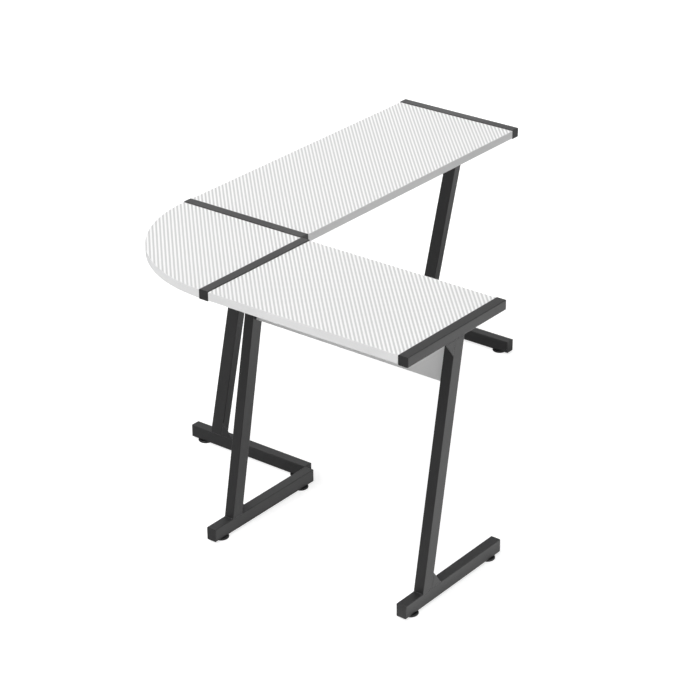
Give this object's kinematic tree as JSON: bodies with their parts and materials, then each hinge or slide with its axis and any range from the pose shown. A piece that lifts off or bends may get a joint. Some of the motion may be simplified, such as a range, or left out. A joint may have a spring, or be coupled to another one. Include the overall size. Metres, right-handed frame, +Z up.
{
  "type": "corner desk",
  "caption": "L-shaped corner desk: striped boards with a quarter-round corner, leaning Z-shaped steel frames, modesty panels and screw-in levelling feet.",
  "frame": {"origin": "on the floor, at the middle of the rectangle round the desk's plan", "axes": "+Z up; the long back wing runs along +Y, the short front wing along +X, and the sitter is on the +X +Y side of both"},
  "size_m": [1.097, 1.472, 0.75],
  "materials": {
    "board": "white melamine-faced chipboard, light grey diagonal stripes on the tops",
    "edge_band": "satin light grey edging",
    "frame_steel": "satin black powder coat",
    "plug_plastic": "fine-grained black",
    "pad_plastic": "moulded black",
    "zinc_steel": "bright zinc plate"
  },
  "bodies": {
    "desk": {"back_corner_column": "frame_steel", "back_corner_foot_bar": "frame_steel", "back_corner_gussets": "frame_steel", "back_corner_rail": "frame_steel", "back_corner_support_tabs": "frame_steel", "back_end_column": "frame_steel", "back_end_foot_bar": "frame_steel", "back_end_gussets": "frame_steel", "back_end_rail": "frame_steel", "back_end_support_tabs": "frame_steel", "back_modesty_panel": "board", "back_panel_edge_bands": "edge_band", "back_top": "board", "back_top_edge_bands": "edge_band", "column_screws": "zinc_steel", "corner_top": "board", "corner_top_edge_band": "edge_band", "foot_end_plugs": "plug_plastic", "foot_thread_inserts": "zinc_steel", "front_corner_column": "frame_steel", "front_corner_foot_bar": "frame_steel", "front_corner_gussets": "frame_steel", "front_corner_rail": "frame_steel", "front_corner_support_tabs": "frame_steel", "front_end_column": "frame_steel", "front_end_foot_bar": "frame_steel", "front_end_gussets": "frame_steel", "front_end_rail": "frame_steel", "front_end_support_tabs": "frame_steel", "front_modesty_panel": "board", "front_panel_edge_bands": "edge_band", "front_top": "board", "front_top_edge_bands": "edge_band", "panel_brackets": "zinc_steel", "panel_screws": "zinc_steel", "rail_end_plugs": "plug_plastic", "top_screws": "zinc_steel"},
    "back_end_rear_stud_body": {"back_end_rear_stud": "zinc_steel"},
    "back_end_rear_pad_body": {"back_end_rear_pad": "pad_plastic"},
    "back_end_front_stud_body": {"back_end_front_stud": "zinc_steel"},
    "back_end_front_pad_body": {"back_end_front_pad": "pad_plastic"},
    "back_corner_rear_stud_body": {"back_corner_rear_stud": "zinc_steel"},
    "back_corner_rear_pad_body": {"back_corner_rear_pad": "pad_plastic"},
    "back_corner_front_stud_body": {"back_corner_front_stud": "zinc_steel"},
    "back_corner_front_pad_body": {"back_corner_front_pad": "pad_plastic"},
    "front_corner_rear_stud_body": {"front_corner_rear_stud": "zinc_steel"},
    "front_corner_rear_pad_body": {"front_corner_rear_pad": "pad_plastic"},
    "front_corner_front_stud_body": {"front_corner_front_stud": "zinc_steel"},
    "front_corner_front_pad_body": {"front_corner_front_pad": "pad_plastic"},
    "front_end_rear_stud_body": {"front_end_rear_stud": "zinc_steel"},
    "front_end_rear_pad_body": {"front_end_rear_pad": "pad_plastic"},
    "front_end_front_stud_body": {"front_end_front_stud": "zinc_steel"},
    "front_end_front_pad_body": {"front_end_front_pad": "pad_plastic"}
  },
  "joints": [
    {"name": "back_end_rear_travel", "type": "slide", "parent": "desk", "child": "back_end_rear_stud_body", "axis": [0, 0, -1], "range_m": [0, 0.01]},
    {"name": "back_end_rear_turn", "type": "hinge", "parent": "back_end_rear_stud_body", "child": "back_end_rear_pad_body", "pos_m": [-0.509, 0.714, 0.003], "axis": [0, 0, -1], "range_deg": [0, 2880]},
    {"name": "back_end_front_travel", "type": "slide", "parent": "desk", "child": "back_end_front_stud_body", "axis": [0, 0, -1], "range_m": [0, 0.01]},
    {"name": "back_end_front_turn", "type": "hinge", "parent": "back_end_front_stud_body", "child": "back_end_front_pad_body", "pos_m": [-0.164, 0.714, 0.003], "axis": [0, 0, -1], "range_deg": [0, 2880]},
    {"name": "back_corner_rear_travel", "type": "slide", "parent": "desk", "child": "back_corner_rear_stud_body", "axis": [0, 0, -1], "range_m": [0, 0.01]},
    {"name": "back_corner_rear_turn", "type": "hinge", "parent": "back_corner_rear_stud_body", "child": "back_corner_rear_pad_body", "pos_m": [-0.509, -0.299, 0.003], "axis": [0, 0, -1], "range_deg": [0, 2880]},
    {"name": "back_corner_front_travel", "type": "slide", "parent": "desk", "child": "back_corner_front_stud_body", "axis": [0, 0, -1], "range_m": [0, 0.01]},
    {"name": "back_corner_front_turn", "type": "hinge", "parent": "back_corner_front_stud_body", "child": "back_corner_front_pad_body", "pos_m": [-0.164, -0.299, 0.003], "axis": [0, 0, -1], "range_deg": [0, 2880]},
    {"name": "front_corner_rear_travel", "type": "slide", "parent": "desk", "child": "front_corner_rear_stud_body", "axis": [0, 0, -1], "range_m": [0, 0.01]},
    {"name": "front_corner_rear_turn", "type": "hinge", "parent": "front_corner_rear_stud_body", "child": "front_corner_rear_pad_body", "pos_m": [-0.1115, -0.6965, 0.003], "axis": [0, 0, -1], "range_deg": [0, 2880]},
    {"name": "front_corner_front_travel", "type": "slide", "parent": "desk", "child": "front_corner_front_stud_body", "axis": [0, 0, -1], "range_m": [0, 0.01]},
    {"name": "front_corner_front_turn", "type": "hinge", "parent": "front_corner_front_stud_body", "child": "front_corner_front_pad_body", "pos_m": [-0.1115, -0.3515, 0.003], "axis": [0, 0, -1], "range_deg": [0, 2880]},
    {"name": "front_end_rear_travel", "type": "slide", "parent": "desk", "child": "front_end_rear_stud_body", "axis": [0, 0, -1], "range_m": [0, 0.01]},
    {"name": "front_end_rear_turn", "type": "hinge", "parent": "front_end_rear_stud_body", "child": "front_end_rear_pad_body", "pos_m": [0.5265, -0.6965, 0.003], "axis": [0, 0, -1], "range_deg": [0, 2880]},
    {"name": "front_end_front_travel", "type": "slide", "parent": "desk", "child": "front_end_front_stud_body", "axis": [0, 0, -1], "range_m": [0, 0.01]},
    {"name": "front_end_front_turn", "type": "hinge", "parent": "front_end_front_stud_body", "child": "front_end_front_pad_body", "pos_m": [0.5265, -0.3515, 0.003], "axis": [0, 0, -1], "range_deg": [0, 2880]}
  ],
  "couplings": [
    {"joint": "back_end_rear_turn", "follows": "back_end_rear_travel", "rad_per_m": 5026.5},
    {"joint": "back_end_front_turn", "follows": "back_end_front_travel", "rad_per_m": 5026.5},
    {"joint": "back_corner_rear_turn", "follows": "back_corner_rear_travel", "rad_per_m": 5026.5},
    {"joint": "back_corner_front_turn", "follows": "back_corner_front_travel", "rad_per_m": 5026.5},
    {"joint": "front_corner_rear_turn", "follows": "front_corner_rear_travel", "rad_per_m": 5026.5},
    {"joint": "front_corner_front_turn", "follows": "front_corner_front_travel", "rad_per_m": 5026.5},
    {"joint": "front_end_rear_turn", "follows": "front_end_rear_travel", "rad_per_m": 5026.5},
    {"joint": "front_end_front_turn", "follows": "front_end_front_travel", "rad_per_m": 5026.5}
  ]
}
